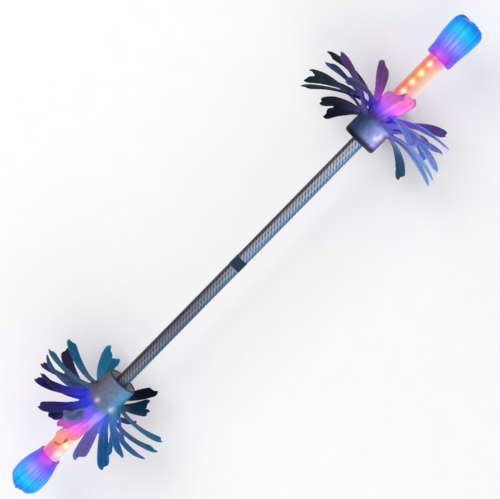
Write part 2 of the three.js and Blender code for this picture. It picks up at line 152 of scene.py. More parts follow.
def new_object(name, points_mm, faces):
    mesh = bpy.data.meshes.new(name)
    mesh.from_pydata((np.asarray(points_mm) * MM).tolist(), [], faces)
    mesh.validate()
    mesh.update()
    obj = bpy.data.objects.new(name, mesh)
    bpy.context.scene.collection.objects.link(obj)
    mesh.shade_smooth()
    return obj


def points_of(obj):
    """The vertices of an object in millimetres."""
    co = np.empty(len(obj.data.vertices) * 3)
    obj.data.vertices.foreach_get("co", co)
    return co.reshape(-1, 3) / MM


def set_points(obj, points_mm):
    obj.data.vertices.foreach_set("co", (points_mm * MM).astype(np.float32).ravel())
    obj.data.update()


def paint(obj, name, colours):
    """Stores one linear colour a vertex."""
    layer = obj.data.color_attributes.new(name, "FLOAT_COLOR", "POINT")
    rgba = np.ones((len(colours), 4), np.float32)
    rgba[:, :3] = colours
    layer.data.foreach_set("color", rgba.ravel())


def grid_faces(rows, columns):
    """Quads of a grid of rows x columns points whose last column meets the first."""
    faces = []
    for r in range(rows - 1):
        for c in range(columns):
            d = (c + 1) % columns
            faces.append((r * columns + c, r * columns + d, (r + 1) * columns + d, (r + 1) * columns + c))
    return faces


def turned(profile, steps):
    """Points and faces of a closed profile of (x, radius) turned round the X axis."""
    profile = np.asarray(profile, float)
    angles = np.arange(steps) * 2 * math.pi / steps
    x = np.repeat(profile[:, 0], steps)
    radius = np.repeat(profile[:, 1], steps)
    around = np.tile(angles, len(profile))
    points = np.stack([x, radius * np.cos(around), radius * np.sin(around)], -1)
    rows = len(profile)
    faces = grid_faces(rows, steps)
    for c in range(steps):
        d = (c + 1) % steps
        faces.append(((rows - 1) * steps + c, (rows - 1) * steps + d, d, c))
    return points, faces


def fix_normals(obj):
    mesh = bmesh.new()
    mesh.from_mesh(obj.data)
    bmesh.ops.recalc_face_normals(mesh, faces=mesh.faces)
    mesh.to_mesh(obj.data)
    mesh.free()


def spline(points, samples):
    """A smooth run of points through a coarse profile, by Catmull-Rom."""
    p = np.asarray(points, float)
    p = np.vstack([2 * p[0] - p[1], p, 2 * p[-1] - p[-2]])
    out = []
    for i in range(1, len(p) - 2):
        for t in np.linspace(0, 1, samples, endpoint=False):
            a, b, c, d = p[i - 1], p[i], p[i + 1], p[i + 2]
            out.append(0.5 * (2 * b + (c - a) * t + (2 * a - 5 * b + 4 * c - d) * t * t
                              + (3 * b - a - 3 * c + d) * t ** 3))
    out.append(p[-2])
    return np.array(out)


# ---- materials ------------------------------------------------------------------------------
class Shader:
    """A node material built in a few lines."""

    def __init__(self, name, **sockets):
        self.material = bpy.data.materials.new(name)
        self.material.use_nodes = True
        self.nodes = self.material.node_tree.nodes
        self.links = self.material.node_tree.links
        self.bsdf = self.nodes["Principled BSDF"]
        for key, value in sockets.items():
            self.set(key.replace("_", " "), value)

    def set(self, socket, value):
        if socket.endswith("Color"):
            value = (*value, 1)
        self.bsdf.inputs[socket].default_value = value

    def node(self, kind, **values):
        node = self.nodes.new(kind)
        for key, value in values.items():
            setattr(node, key, value)
        return node

    def link(self, start, end):
        self.links.new(start, end)

    def feed(self, socket, output):
        self.link(output, self.bsdf.inputs[socket])

    def attribute(self, name):
        return self.node("ShaderNodeAttribute", attribute_name=name).outputs["Color"]

    def noise(self, scale, detail, stretch=(1, 1, 1)):
        """Noise in the object's own coordinates, with the scale per metre."""
        place = self.node("ShaderNodeTexCoord").outputs["Object"]
        mapping = self.node("ShaderNodeMapping")
        mapping.inputs["Scale"].default_value = stretch
        self.link(place, mapping.inputs["Vector"])
        noise = self.node("ShaderNodeTexNoise")
        noise.inputs["Scale"].default_value = scale
        noise.inputs["Detail"].default_value = detail
        noise.inputs["Roughness"].default_value = 0.55
        self.link(mapping.outputs["Vector"], noise.inputs["Vector"])
        return noise.outputs["Fac"]

    def spread(self, value, low, high, from_low=0.3, from_high=0.7):
        """value moved from the range from_low, from_high to the range low, high."""
        node = self.node("ShaderNodeMapRange")
        node.inputs["From Min"].default_value = from_low
        node.inputs["From Max"].default_value = from_high
        node.inputs["To Min"].default_value = low
        node.inputs["To Max"].default_value = high
        self.link(value, node.inputs["Value"])
        return node.outputs["Result"]

    def tint(self, colour, factor):
        """colour multiplied by a grey value."""
        node = self.node("ShaderNodeMix", data_type="RGBA", blend_type="MULTIPLY")
        node.inputs["Factor"].default_value = 1.0
        self.link(colour, node.inputs[6])
        self.link(factor, node.inputs[7])
        return node.outputs[2]

    def blend(self, factor, first, second):
        """From one sRGB colour to another, by factor."""
        node = self.node("ShaderNodeMix", data_type="RGBA")
        self.link(factor, node.inputs["Factor"])
        node.inputs[6].default_value = (*linear(first), 1)
        node.inputs[7].default_value = (*linear(second), 1)
        return node.outputs[2]

    def toward(self, factor, colour, target):
        """colour, blended by factor towards a fixed sRGB colour."""
        node = self.node("ShaderNodeMix", data_type="RGBA")
        self.link(factor, node.inputs["Factor"])
        self.link(colour, node.inputs[6])
        node.inputs[7].default_value = (*linear(target), 1)
        return node.outputs[2]

    def maths(self, operation, *values):
        """One math operation on numbers and other nodes' outputs."""
        node = self.node("ShaderNodeMath", operation=operation)
        for k, value in enumerate(values):
            if isinstance(value, (int, float)):
                node.inputs[k].default_value = value
            else:
                self.link(value, node.inputs[k])
        return node.outputs[0]

    def colours_along(self, value, stops):
        """Colours between stops of (value, sRGB colour)."""
        low, high = stops[0][0], stops[-1][0]
        node = self.node("ShaderNodeValToRGB")
        elements = node.color_ramp.elements
        while len(elements) < len(stops):
            elements.new(0.5)
        for element, (at, colour) in zip(elements, stops):
            element.position = (at - low) / (high - low)
            element.color = (*linear(colour), 1)
        self.link(self.spread(value, 0, 1, low, high), node.inputs["Fac"])
        return node.outputs["Color"]

    def bump(self, height, distance_mm):
        node = self.node("ShaderNodeBump")
        node.inputs["Distance"].default_value = distance_mm * MM
        self.link(height, node.inputs["Height"])
        self.feed("Normal", node.outputs["Normal"])


def painted(name, wear, roughness, bump_mm, **sockets):
    """A surface that takes its colour and its glow from vertex colours, with fine mottling."""
    shader = Shader(name, **sockets)
    mottle = shader.spread(shader.noise(260, 4), 1 - wear, 1 + wear / 2)
    shader.feed("Base Color", shader.tint(shader.attribute("tint"), mottle))
    fine = shader.noise(900, 2)
    shader.feed("Roughness", shader.spread(fine, *roughness))
    shader.feed("Emission Color", shader.attribute("glow"))
    shader.set("Emission Strength", 1.0)
    shader.bump(fine, bump_mm)
    return shader


def plain(name, first, second, scale, roughness, bump_mm=0.04, **sockets):
    """Moulded or coated stuff whose colour wanders between two close sRGB shades."""
    shader = Shader(name, **sockets)
    mottle = shader.noise(scale, 4)
    shader.feed("Base Color", shader.blend(shader.spread(mottle, 0, 1), first, second))
    fine = shader.noise(scale * 4, 2)
    shader.feed("Roughness", shader.spread(fine, *roughness))
    shader.bump(fine, bump_mm)
    return shader


def dress(names, shader):
    """Gives CAD nodes a material."""
    for name in names:
        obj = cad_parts[name]
        obj.data.materials.clear()
        obj.data.materials.append(shader.material)


def both(*stems):
    """The names of the nodes that each end of the stick has."""
    return [f"{side}_{stem}" for side in SIDES for stem in stems]


# ---- the flowers ----------------------------------------------------------------------------
PETAL_HALF_WIDTH, PETAL_HALF_THICKNESS = 5.0, 0.85
PETALS_ROUND = 32
PETAL_ROWS, PETAL_COLUMNS = 72, 28
PATH_SAMPLES = 48
# Shares of a petal's length: where its end starts to round off, and how far the webs reach.
ROUNDING, WEB_REACH = 0.8, 0.27
WEB_ROWS, WEB_COLUMNS, WEB_HALF_THICKNESS = 16, 8, 0.8
COLLAR_STEPS = 96
TUBE_BORE = TUBE_RADIUS + 0.25
# How much wider than in the CAD each collar is at its widest.
COLLAR_SWELL = {"right": 0.6, "left": -0.3}
VOXEL_MM, QUICK_VOXEL_MM = 0.62, 1.0
# Rounds of smoothing for the shape, the tint and the glow.
SHAPE_ROUNDS, TINT_ROUNDS, GLOW_ROUNDS = 5, 4, 6
COLOUR_PULL = 0.6


def petal_frame(index, row, samples):
    """A petal's centre points, its directions along, across and off its face, and its half width."""
    forward, lateral, height, twist, wide = row[:5]
    root_x, root_radius, flare = ROOTS[index % 2]
    around = index * 2 * math.pi / PETALS_ROUND
    out = np.array([0, math.cos(around), math.sin(around)])
    start = out * root_radius + [root_x, 0, 0]
    tip = np.array([COLLAR_END + forward, lateral, height], float)
    # The centre line is a Bezier curve. It leaves the collar outwards and forwards, and it comes to
    # the tip about as the mirror image of how it left.
    lean = 0.15 + 0.65 * smooth_step(-30, 20, forward)
    leaving = out * flare + [lean, 0, 0]
    leaving /= np.linalg.norm(leaving)
    chord = tip - start
    span = np.linalg.norm(chord)
    chord /= span
    mirrored = chord * 2 * chord.dot(leaving) - leaving
    arriving = mirrored + (chord - mirrored) * 0.45
    arriving /= np.linalg.norm(arriving)
    rise = span * (0.14 + 0.16 * max(0.0, chord.dot(leaving)))
    a, b, c, d = start, start + leaving * rise, tip - arriving * span * 0.36, tip
    share = np.linspace(0, 1, samples)
    t = share[:, None]
    points = a * (1 - t) ** 3 + 3 * b * t * (1 - t) ** 2 + 3 * c * t ** 2 * (1 - t) + d * t ** 3
    along = 3 * (b - a) * (1 - t) ** 2 + 6 * (c - b) * t * (1 - t) + 3 * (d - c) * t ** 2
    along /= np.linalg.norm(along, axis=1)[:, None]
    # the width runs along the collar's rim at the root and turns on its way to the tip
    across = np.tile([0, -math.sin(around), math.cos(around)], (samples, 1))
    across -= along * (across * along).sum(1)[:, None]
    across /= np.linalg.norm(across, axis=1)[:, None]
    turn = np.radians(twist) * smooth_step(0, 0.8, share)
    across = across * np.cos(turn)[:, None] + np.cross(along, across) * np.sin(turn)[:, None]
    face = np.cross(along, across)
    # the petal narrows from its root, swells a little and has a rounded end
    tip_share = np.clip((share - ROUNDING) / (1 - ROUNDING), 0, 1)
    plan = 1.25 - 0.3 * smooth_step(0, 0.4, share) + 0.13 * smooth_step(0.4, 0.8, share)
    own = 1 + (wide - 1) * smooth_step(0, 0.6, share)
    width = PETAL_HALF_WIDTH * plan * own * np.sqrt(np.clip(1 - tip_share ** 4.6, 0.02, 1))
    return points, along, across, face, width


def petal_mesh(index, row):
    """One petal as a closed strap with rounded edges, a cupped section and an uneven end."""
    points, along, across, face, width = petal_frame(index, row, PETAL_ROWS)
    share = np.linspace(0, 1, PETAL_ROWS)
    phase, beats = rng.uniform(0, 6.28), rng.uniform(1.2, 2.2)
    slant, notch = rng.choice([-1, 1]) * rng.uniform(1.2, 3.4), rng.choice([0.0, 0.4, 1.8])
    angles = np.arange(PETAL_COLUMNS) * 2 * math.pi / PETAL_COLUMNS
    lateral = np.sign(np.cos(angles)) * np.abs(np.cos(angles)) ** 0.75
    level = np.sign(np.sin(angles)) * np.abs(np.sin(angles)) ** 0.75
    # fine ridges along one face, a cupped section and a ripple that grows towards the tip
    thickness = PETAL_HALF_THICKNESS * (1.05 - 0.25 * share)
    ridge = 0.2 * np.cos(lateral * 8) * (level > 0)
    cup = 1.1 * (1 - 0.5 * share)
    ripple = 0.6 * smooth_step(0.3, 1, share) * np.sin(share * beats * 6.28 + phase)
    # the end is cut at a slant and may be notched
    end = smooth_step(0.7, 1, share)
    rings = []
    for i in range(PETAL_ROWS):
        height = level * thickness[i] + ridge + cup[i] * (1 - lateral ** 2) + ripple[i] * lateral
        push = end[i] * (slant * lateral - notch * (1 - np.abs(lateral)) + notch * 0.3)
        rings.append(points[i] + across[i] * (lateral * width[i])[:, None] + face[i] * height[:, None]
                     + along[i] * push[:, None])
    vertices = np.concatenate(rings)
    faces = grid_faces(PETAL_ROWS, PETAL_COLUMNS)
    faces.append(tuple(range(PETAL_COLUMNS)))
    last = (PETAL_ROWS - 1) * PETAL_COLUMNS
    faces.append(tuple(last + c for c in range(PETAL_COLUMNS)))
    return vertices, faces


def web_mesh(side, layer):
    """The skirt that joins the petals of one layer near their roots, scalloped between them."""
    rows = PETALS[side]
    paths = np.array([petal_frame(i, rows[i], PATH_SAMPLES)[0] for i in range(layer, len(rows), 2)])
    turns = np.arange(len(paths) * WEB_COLUMNS) / WEB_COLUMNS
    first = turns.astype(int)
    second = (first + 1) % len(paths)
    part = (turns - first)[:, None]
    reach = WEB_REACH * (1 - 0.4 * np.sin(math.pi * (turns - first)))
    grid = []
    for level in np.linspace(0, 1, WEB_ROWS):
        at = reach * level * (PATH_SAMPLES - 1)
        low = at.astype(int)
        beyond = (at - low)[:, None]
        here, there = (paths[k, low] * (1 - beyond) + paths[k, low + 1] * beyond for k in (first, second))
        grid.append(here * (1 - part) + there * part)
    grid = np.array(grid)
    around = np.roll(grid, -1, 1) - np.roll(grid, 1, 1)
    off = np.cross(around, np.gradient(grid, axis=0))
    off *= WEB_HALF_THICKNESS / np.linalg.norm(off, axis=2)[:, :, None]
    count = grid.shape[0] * grid.shape[1]
    columns = len(turns)
    faces = grid_faces(WEB_ROWS, columns)
    faces += [tuple(v + count for v in face[::-1]) for face in faces]
    for c in range(columns):
        d = (c + 1) % columns
        for near in (0, count - columns):
            faces.append((near + c, near + d, near + count + d, near + count + c))
    return np.concatenate([(grid + off).reshape(-1, 3), (grid - off).reshape(-1, 3)]), faces


def collar_mesh(side):
    """The hollow collar and the throat that tapers from it along the tube."""
    full = COLLAR_RADIUS + COLLAR_SWELL[side]
    outer = spline([
        (COLLAR_START + 1.8, MOUTH_RADIUS), (COLLAR_START + 0.4, MOUTH_RADIUS + 0.4),
        (COLLAR_START, MOUTH_RADIUS + 1.4), (COLLAR_START + 0.6, full - 1.1),
        (COLLAR_START + 2.4, full - 0.2), (COLLAR_START + 6, full), (COLLAR_END - 9, full - 0.1),
        (COLLAR_END - 4, full - 0.5), (COLLAR_END + 2, full - 2.2), (COLLAR_END + 8, 13.8),
        (COLLAR_END + 14, 12.0), (COLLAR_END + 16, 11.2),
    ], 5)
    inner = [
        (COLLAR_END + 16, TUBE_BORE), (COLLAR_END - 9, TUBE_BORE), (COLLAR_END - 9, MOUTH_RADIUS - 1),
        (COLLAR_END - 10, MOUTH_RADIUS),
    ]
    return turned(np.vstack([outer, inner]), COLLAR_STEPS)


def smoothed(points, edges, weights, rounds):
    """Points or colours pulled towards their neighbours' mean, each by its own weight."""
    count = np.bincount(edges.ravel(), minlength=len(points)).astype(float)
    for _ in range(rounds):
        mean = np.empty_like(points)
        for k in range(3):
            total = np.bincount(edges[:, 0], points[edges[:, 1], k], len(points))
            total += np.bincount(edges[:, 1], points[edges[:, 0], k], len(points))
            mean[:, k] = total / count
        points = points + (mean - points) * weights[:, None]
    return points


def edges_of(obj):
    edges = np.empty(len(obj.data.edges) * 2, int)
    obj.data.edges.foreach_get("vertices", edges)
    return edges.reshape(-1, 2)


def place_on_petals(points, side):
    """For each point of a flower that faces +X: its petal, how far along, and how far across."""
    frames = [petal_frame(i, row, PATH_SAMPLES) for i, row in enumerate(PETALS[side])]
    centres = np.concatenate([f[0] for f in frames])
    across = np.concatenate([f[2] for f in frames])
    width = np.concatenate([f[4] for f in frames])
    tree = kdtree.KDTree(len(centres))
    for i, centre in enumerate(centres):
        tree.insert(Vector(centre), i)
    tree.balance()
    found = np.array([tree.find(Vector(p))[1] for p in points])
    lateral = ((points - centres[found]) * across[found]).sum(1) / np.maximum(width[found], 1)
    return found // PATH_SAMPLES, (found % PATH_SAMPLES) / (PATH_SAMPLES - 1), lateral


# The light that reaches a petal, against its distance beyond the collar's end.
REACHING_LIGHT = {
    "right": [(4, (30, 24, 130)), (9, (60, 36, 200)), (13, (110, 56, 240)), (18, (200, 76, 250)),
              (23, (235, 70, 236)), (29, (230, 76, 196)), (36, (238, 78, 156)), (46, (250, 76, 126))],
    "left": [(4, (60, 74, 160)), (9, (56, 76, 226)), (14, (66, 92, 248)), (20, (84, 88, 244)),
             (25, (108, 74, 240)), (31, (160, 60, 230)), (38, (246, 70, 236)), (47, (250, 100, 160)),
             (58, (255, 168, 80)), (70, (255, 150, 130))],
}
# Painted spots of light on the top side: (beyond the collar's end, Y). On the left they stand for LEDs
# shining through the silicone, and on the right they are painted glints low on the collar.
GLINTS = {"right": [(-13, -10.5), (-9, -13)], "left": [(0.8, 5), (-0.5, -12)]}
# The collar's colour against the angle round the stick, from +Y over the top, with painted light and shade:
# dark at +Y and underneath, palest between the top and -Y.
COLLAR_LIGHT_AND_SHADE = {
    "right": [(0, (16, 24, 40)), (35, (34, 54, 96)), (52, (42, 62, 108)), (70, (60, 80, 122)),
              (86, (98, 120, 172)), (102, (130, 152, 212)), (119, (162, 182, 240)), (133, (206, 206, 255)),
              (150, (160, 142, 232)), (166, (92, 60, 150)), (180, (50, 30, 70)), (270, (20, 26, 50)),
              (360, (16, 24, 40))],
    "left": [(0, (52, 50, 60)), (34, (94, 90, 106)), (52, (112, 108, 126)), (72, (108, 118, 142)),
             (90, (104, 124, 152)), (108, (100, 138, 172)), (124, (106, 160, 208)), (140, (92, 168, 214)),
             (160, (40, 120, 164)), (180, (20, 84, 120)), (270, (10, 48, 74)), (360, (52, 50, 60))],
}
# Where each flower's colours start, beyond the collar's end or off the axis: the petals' shades, the
# painted shade on the lip of the mouth, and the light from the tube.
SHADE_STARTS = {"right": (-5, 4), "left": (0, 14)}
SHADE_RADII = {"right": (18.6, 23), "left": (19, 27)}
LIP_SHADE_STARTS = {"right": (19.5, 23), "left": (24.5, 26.5)}
LIGHT_STARTS = {"right": (0, 9), "left": (-2, 9)}
INSIDE_COLOUR, GLINT_COLOUR = (205, 210, 216), (255, 222, 236)


def melted_flower(side):
    """The collar, petals and webs of a flower that faces +X, fused into one skin."""
    parts = [collar_mesh(side)]
    parts += [petal_mesh(i, row) for i, row in enumerate(PETALS[side])]
    parts += [web_mesh(side, layer) for layer in (0, 1)]
    vertices, faces, start = [], [], 0
    for points, polygons in parts:
        vertices.append(points)
        faces += [tuple(v + start for v in polygon) for polygon in polygons]
        start += len(points)
    obj = new_object(f"{side}_silicone_flower", np.concatenate(vertices), faces)
    fix_normals(obj)
    remesh = obj.modifiers.new("melt", "REMESH")
    remesh.mode = "VOXEL"
    remesh.voxel_size = VOXEL_MM * MM
    remesh.use_smooth_shade = True
    bpy.context.view_layer.update()
    graph = bpy.context.evaluated_depsgraph_get()
    melted = bpy.data.meshes.new_from_object(obj.evaluated_get(graph))
    obj.modifiers.clear()
    obj.data = melted
    obj.data.name = obj.name
    return obj


def softened(obj):
    """The points of a melted flower, smoothed most round the petals' roots and kept off the tube."""
    points = points_of(obj)
    root = 1 - smooth_step(8, 26, np.abs(points[:, 0] - COLLAR_END - 4))
    radius = np.hypot(points[:, 1], points[:, 2])
    root *= smooth_step(TUBE_RADIUS + 0.6, TUBE_RADIUS + 2, radius) * (1 - smooth_step(22, 34, radius))
    points = smoothed(points, edges_of(obj), 0.35 + 0.45 * root, SHAPE_ROUNDS)
    radius = np.hypot(points[:, 1], points[:, 2])
    in_bore = (radius < TUBE_BORE) & (points[:, 0] > COLLAR_END - 10)
    points[:, 1:] *= np.where(in_bore, TUBE_BORE / np.maximum(radius, 1e-6), 1)[:, None]
    return points


def flower_colours(points, side):
    """The tint and the glow of each point of a flower that faces +X."""
    index, share, lateral = place_on_petals(points, side)
    radius = np.hypot(points[:, 1], points[:, 2])
    forward = points[:, 0] - COLLAR_END
    around = np.degrees(np.arctan2(points[:, 2], points[:, 1])) % 360
    rows = PETALS[side]
    tips = np.array([linear(SHADES[row[6]][0]) for row in rows])[index]
    roots = np.array([linear(SHADES[row[6]][1]) for row in rows])[index]
    through = np.array([row[5] for row in rows])[index]

    # The petals' shades, with painted light and shade. An edge gets a painted highlight on a petal that
    # lets little light through, and painted shade on one that lets much through.
    tint = roots + (tips - roots) * smooth_step(0.1, 0.75, share)[:, None]
    edge = smooth_step(0.8, 1.0, np.abs(lateral)) * smooth_step(0.25, 0.6, share)
    tint *= (1 + 0.14 * np.cos(lateral * 9) + (0.8 - 1.5 * through) * edge)[:, None]
    tint *= rng.uniform(0.85, 1.15, len(rows))[index][:, None]

    # the collar, with its painted light and shade round the stick, painted shade on its lip and a pale
    # inside
    on_petal = np.maximum(smooth_step(*SHADE_STARTS[side], forward), smooth_step(*SHADE_RADII[side], radius))
    collar = ramp(around, COLLAR_LIGHT_AND_SHADE[side]) * (1 - 0.9 * smooth_step(*LIP_SHADE_STARTS[side], -forward))[:, None]
    inside = smooth_step(10, 12, -forward) * (1 - smooth_step(25, 26, -forward))
    inside *= radius < MOUTH_RADIUS + 0.3
    collar += (linear(INSIDE_COLOUR) - collar) * inside[:, None]
    tint = collar + (tint - collar) * on_petal[:, None]

    # the tube's light, close to the tube and on the petals that let it through
    fade = 13 - 5 * smooth_step(12, 22, forward)
    near = np.exp(-np.maximum(radius - TUBE_RADIUS - 1, 0) / fade) * (1 - smooth_step(0.45, 0.85, share))
    lit = 0.8 * near + through * (0.8 - 0.45 * share ** 3) * (1 - 0.6 * edge)
    lit *= smooth_step(*LIGHT_STARTS[side], forward)
    glow = ramp(forward, REACHING_LIGHT[side]) * (lit * on_petal)[:, None]
    # painted glints and spots of LED light on the top side
    for at, across in GLINTS[side]:
        apart = (forward - at) ** 2 + (points[:, 1] - across) ** 2
        glow += linear(GLINT_COLOUR) * (0.55 * np.exp(-apart / 5) * (points[:, 2] > 0))[:, None]
    return tint, glow


def make_flower(side):
    obj = melted_flower(side)
    points = softened(obj)
    tint, glow = flower_colours(points, side)
    edges, pull = edges_of(obj), np.full(len(points), COLOUR_PULL)
    paint(obj, "tint", smoothed(tint, edges, pull, TINT_ROUNDS))
    paint(obj, "glow", smoothed(glow, edges, pull, GLOW_ROUNDS))
    points[:, 0] *= SIDES[side]
    set_points(obj, points)
    if SIDES[side] < 0:
        obj.data.flip_normals()
    obj.data.materials.clear()
    obj.data.materials.append(silicone.material)
    obj.data.shade_smooth()
    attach(obj, f"{side}_flower")
    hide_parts(f"{side}_flower")


silicone = painted("petal_silicone", wear=0.2, roughness=(0.36, 0.52), bump_mm=0.08,
                   Specular_IOR_Level=0.12)
for side in SIDES:
    make_flower(side)


# ---- the end caps ---------------------------------------------------------------------------
CAP_STEPS, CAP_FOLDS = 192, 11
# The radius that no pleat goes past.
CAP_LIMIT = 18.0
# The outline of each cap as it sits: (x beyond its start, radius). The left one is more of a bud.
CAP_OUTLINE = {
    "right": [
        (0.3, 10.9), (0, 12.8), (0.8, 14.2), (4, 14.6), (11, 15.0), (19, 16.1), (28, 17.0), (36, 17.3),
        (41.5, 16.9), (45.4, 15.0), (47.6, 11.4), (48.2, 7), (48.4, 3.4), (49.2, 1.8), (49.4, 0.6),
    ],
    "left": [
        (0.3, 10.9), (0, 11.6), (0.8, 12.4), (4, 12.8), (9, 14.0), (16, 15.9), (24, 17.2), (32, 17.4),
        (39, 16.6), (43.8, 14.6), (47.2, 11.2), (48.6, 7.4), (48.6, 3.4), (48.8, 1.6), (48.9, 0.6),
    ],
}
# The colour of a lit cap against the distance along it, up its flanks and along its middle.
CAP_FLANK = [(0, (80, 40, 220)), (0.1, (74, 46, 240)), (0.24, (50, 96, 252)), (0.38, (56, 128, 254)),
             (0.52, (18, 154, 254)), (0.66, (0, 152, 252)), (0.8, (0, 130, 246)), (1, (0, 96, 226))]
CAP_MIDDLE = [(0, (196, 70, 236)), (0.1, (214, 84, 244)), (0.2, (150, 100, 250)), (0.38, (118, 136, 250)),
              (0.52, (76, 162, 254)), (0.68, (10, 204, 250)), (0.8, (0, 168, 248)), (0.92, (0, 126, 244)),
              (1, (0, 104, 236))]
# The hollow of both caps, from its closed end back to its mouth.
CAP_INSIDE = [
    (45.6, 0.6), (45.6, 6), (43.4, 11.2), (39, 13.9), (31, 14.3), (23, 13.4), (17, 11.3), (14.5, 10.5),
    (2, 10.5),
]
# The turn of each cap's pleats, in radians.
CAP_PHASE = {"right": 0.4, "left": 1.7}
CAP_HIGHLIGHT_COLOUR = (190, 180, 255)
# The shares of a cap's painted light that go into its surface colour and into its glow.
CAP_TINT, CAP_GLOW = 0.4, 0.56


def make_cap(side):
    """A pleated bud: a closed shell with soft uneven folds that gather at its blunt end."""
    shift = np.array([CAP_START, 0])
    outer = spline(np.array(CAP_OUTLINE[side]) + shift, 8)
    inner = spline(np.array(CAP_INSIDE) + shift, 5)
    points, faces = turned(np.vstack([outer, inner]), CAP_STEPS)
    # one face closes each profile at its far end, in place of the quads that join the two there
    tip = (len(outer) - 1) * CAP_STEPS
    faces[tip:tip + CAP_STEPS] = [tuple(range(at, at + CAP_STEPS)) for at in (tip, tip + CAP_STEPS)]
    x, y, z = points.T
    radius = np.hypot(y, z)
    around = np.arctan2(z, y)
    far = (x - CAP_START) / (CAP_END - CAP_START)
    # big folds that swirl a little, small ones between them, and a slow wander of the whole outline
    start = CAP_PHASE[side]
    swirl = around + 0.12 * np.sin(3 * around + start) + 0.1 * far
    fold = 2 * np.abs(np.cos(CAP_FOLDS / 2 * swirl + start)) ** 0.6 - 1.2
    small = np.cos(23 * around + 2 * np.sin(2 * around + start) + 3 * far)
    wander = np.sin(3 * around + start * 2 + far) + 0.7 * np.sin(5 * around + 1 + start - 2 * far)
    lift = 0.34 * smooth_step(0.1, 0.6, far) * fold + 0.12 * smooth_step(0.2, 0.6, far) * small
    lift += 0.38 * smooth_step(0.1, 0.7, far) * wander
    is_inner = np.arange(len(points)) >= len(outer) * CAP_STEPS
    lift = np.where(is_inner, lift * 0.5 * smooth_step(11, 13, radius), lift * smooth_step(2, 8, radius))
    # the folds also make the blunt end uneven
    end = np.where(is_inner, 0, smooth_step(0.86, 0.97, far) * smooth_step(3, 12, radius))
    new_radius = np.minimum(radius + lift, CAP_LIMIT)
    new_x = np.minimum(x + end * (0.8 * fold + 0.7 * wander - 0.7), CAP_END)
    points = np.stack([new_x * SIDES[side], new_radius * np.cos(around), new_radius * np.sin(around)], -1)
    obj = new_object(f"{side}_silicone_cap", points, faces)
    fix_normals(obj)
    # painted light and shade on the pleats: lighter on their ridges, darker in their creases
    crease = np.clip(0.7 * fold + 0.4 * small, -1, 1) * smooth_step(0.1, 0.5, far)
    middle = (np.sin(around) ** 2)[:, None]
    light = ramp(far, CAP_FLANK) * (1 - middle) + ramp(far, CAP_MIDDLE) * middle
    # a pale painted highlight, streaked by the folds, across the middle of each cap
    highlight_streak = np.exp(-((far - 0.38) / 0.12) ** 2) * np.clip(0.5 + 0.5 * small + 0.4 * wander, 0, 1)
    light += linear(CAP_HIGHLIGHT_COLOUR) * (0.3 * highlight_streak)[:, None] * middle
    tint = light * (CAP_TINT * (1 + 0.3 * crease))[:, None]
    glow = light * (CAP_GLOW * (1 + 0.16 * crease))[:, None]
    # the mouth is a little see-through
    cover = 0.72 + 0.28 * smooth_step(0.1, 0.36, far)
    paint(obj, "tint", tint)
    paint(obj, "glow", glow)
    paint(obj, "cover", np.repeat(cover[:, None], 3, 1))
    obj.data.materials.append(cap_silicone.material)
    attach(obj, f"{side}_cap")
    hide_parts(f"{side}_end_cap")


cap_silicone = painted("cap_silicone", wear=0.12, roughness=(0.26, 0.4), bump_mm=0.05,
                       Specular_IOR_Level=0.2)
cap_silicone.feed("Alpha", cap_silicone.attribute("cover"))
for side in SIDES:
    make_cap(side)


# ---- the shaft ------------------------------------------------------------------------------
SHAFT_ROWS, SHAFT_STEPS = 1150, 84
SHAFT_BORE = 5.7
STRANDS, STRAND_PITCH, STRAND_HEIGHT = 10, 44.0, 0.34
# How much steeper the dips run than the strands they cross.
CROSSING = 1.15
# The wrap's colour against the angle round the stick, from +Y over the top, with painted light and shade:
# dark at +Y, a pale painted sheen on the front and light blue towards -Y.
WRAP_LIGHT_AND_SHADE = [(0, (44, 52, 66)), (34, (24, 29, 35)), (55, (92, 90, 102)), (72, (190, 182, 204)),
             (88, (176, 178, 204)), (104, (200, 216, 250)), (120, (160, 206, 252)),
             (140, (116, 176, 228)), (165, (56, 120, 164)), (180, (48, 100, 144)),
             (270, (84, 100, 130)), (335, (62, 72, 92)), (360, (44, 52, 66))]
# Painted light on its top along the stick, darker towards -X: x and share. The underside is evenly lit.
WRAP_PAINTED_LIGHT = [(-170, 0.34), (-80, 0.3), (-28, 0.46), (0, 0.66), (100, 0.72), (170, 0.95)]
UNDERSIDE_PAINTED_LIGHT = 0.8
# The bore's two rims are nearly black.
RIM_TINT = 0.066 * linear((44, 52, 66))


